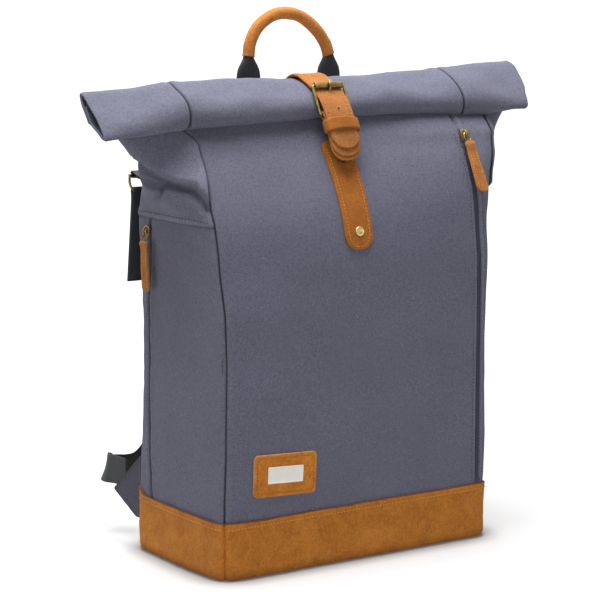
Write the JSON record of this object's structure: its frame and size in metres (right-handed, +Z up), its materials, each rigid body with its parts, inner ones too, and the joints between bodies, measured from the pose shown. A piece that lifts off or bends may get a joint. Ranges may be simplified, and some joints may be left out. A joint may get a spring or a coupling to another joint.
{
  "type": "travel backpack",
  "caption": "Roll-top travel backpack of canvas over a suede base, with a buckled closure strap, grab handle, zips with suede pulls and webbing shoulder straps.",
  "frame": {"origin": "middle of the flat underside of the base", "axes": "+Z up, front faces -Y, +X to the right seen from the front"},
  "size_m": [0.5, 0.2436, 0.5215],
  "materials": {
    "canvas": "matt woven cotton canvas",
    "suede": "tan suede with pale cut edges",
    "lining": "plain woven lining",
    "padding": "foam under a dark air mesh",
    "webbing": "ribbed nylon webbing",
    "zip_tape": "woven navy tape with a coil",
    "antique_brass": "antique brass",
    "plate_metal": "plain brushed plate with a raised rim",
    "plastic": "moulded acetal"
  },
  "bodies": {
    "bag": {"front_panel": "canvas", "back_panel": "canvas", "side_panel_left": "canvas", "side_panel_right": "canvas", "collar_left": "canvas", "collar_right": "canvas", "roll_top": "canvas", "wing_left": "canvas", "wing_right": "canvas", "band_front": "suede", "band_back": "suede", "band_left": "suede", "band_right": "suede", "base_panel": "suede", "closure_strap": "suede", "lower_strap": "suede", "patch": "suede", "lining": "lining", "laptop_sleeve": "padding", "back_pad": "padding", "strap_yoke_left": "padding", "strap_yoke_right": "padding", "handle_tab_left": "webbing", "handle_tab_right": "webbing", "d_ring_tab_left": "webbing", "d_ring_tab_right": "webbing", "front_zip": "zip_tape", "side_zip": "zip_tape", "rivet": "antique_brass", "rivet_washer": "antique_brass", "snap_socket": "antique_brass", "patch_plate": "plate_metal", "base_board": "plastic"},
    "closure_flap": {"billet": "suede", "chape": "suede", "keeper": "suede", "buckle_frame": "antique_brass", "snap_stud": "antique_brass"},
    "buckle_roller": {"buckle_roller": "antique_brass"},
    "buckle_prong": {"buckle_prong": "antique_brass"},
    "handle": {"handle_sleeve": "suede", "handle_webbing": "webbing"},
    "front_zip_slider": {"front_slider": "antique_brass"},
    "front_zip_pull": {"front_link": "antique_brass", "front_pull": "suede"},
    "side_zip_slider": {"side_slider": "antique_brass"},
    "side_zip_pull": {"side_link": "antique_brass", "side_pull": "suede"},
    "shoulder_left": {"shoulder_strap_left": "padding", "adjuster_webbing_left": "webbing", "ladder_lock_left": "plastic"},
    "shoulder_right": {"shoulder_strap_right": "padding", "adjuster_webbing_right": "webbing", "ladder_lock_right": "plastic"},
    "corner_ring_left": {"d_ring_left": "antique_brass", "hanging_strap_left": "webbing"},
    "corner_ring_right": {"d_ring_right": "antique_brass", "hanging_strap_right": "webbing"}
  },
  "joints": [
    {"name": "closure_flap_lift", "type": "hinge", "parent": "bag", "child": "closure_flap", "pos_m": [0, -0.006, 0.4558], "axis": [-1, 0, 0], "range_deg": [0, 105]},
    {"name": "buckle_roller_spin", "type": "hinge", "parent": "closure_flap", "child": "buckle_roller", "pos_m": [0, -0.02466, 0.45207], "axis": [1, 0, 0], "continuous": true},
    {"name": "buckle_prong_lift", "type": "hinge", "parent": "closure_flap", "child": "buckle_prong", "pos_m": [0, -0.03861, 0.42535], "axis": [1, 0, 0], "range_deg": [0, 8]},
    {"name": "handle_fold", "type": "hinge", "parent": "bag", "child": "handle", "pos_m": [0, 0.042, 0.446], "axis": [-1, 0, 0], "range_deg": [0, 80], "stiffness_Nm_per_rad": 0.12},
    {"name": "front_zip_run", "type": "hinge", "parent": "bag", "child": "front_zip_slider", "pos_m": [0.144, 0.1335, 0.288], "axis": [1, 0, 0], "range_deg": [0, 31]},
    {"name": "front_pull_lift", "type": "hinge", "parent": "front_zip_slider", "child": "front_zip_pull", "pos_m": [0.144, -0.05525, 0.40199], "axis": [-1, 0, 0], "range_deg": [0, 150]},
    {"name": "side_zip_run", "type": "hinge", "parent": "bag", "child": "side_zip_slider", "pos_m": [-0.15559, -0.5865, 0.17499], "axis": [-0.9999, 0, -0.0122], "range_deg": [0, 21.5]},
    {"name": "side_pull_lift", "type": "hinge", "parent": "side_zip_slider", "child": "side_zip_pull", "pos_m": [-0.16431, 0.04286, 0.31608], "axis": [0, 1, 0], "range_deg": [0, 150]},
    {"name": "shoulder_left_swing", "type": "hinge", "parent": "bag", "child": "shoulder_left", "pos_m": [-0.15, 0.1135, 0.066], "axis": [0.3434, -0.079, 0.9359], "range_deg": [-15, 15], "stiffness_Nm_per_rad": 0.4},
    {"name": "shoulder_right_swing", "type": "hinge", "parent": "bag", "child": "shoulder_right", "pos_m": [0.15, 0.1135, 0.066], "axis": [-0.3434, -0.079, 0.9359], "range_deg": [-15, 15], "stiffness_Nm_per_rad": 0.4},
    {"name": "corner_ring_left_swing", "type": "hinge", "parent": "bag", "child": "corner_ring_left", "pos_m": [-0.143, 0.086, 0.366], "axis": [1, 0, 0], "range_deg": [0, 75]},
    {"name": "corner_ring_right_swing", "type": "hinge", "parent": "bag", "child": "corner_ring_right", "pos_m": [0.143, 0.086, 0.366], "axis": [1, 0, 0], "range_deg": [0, 75]}
  ]
}
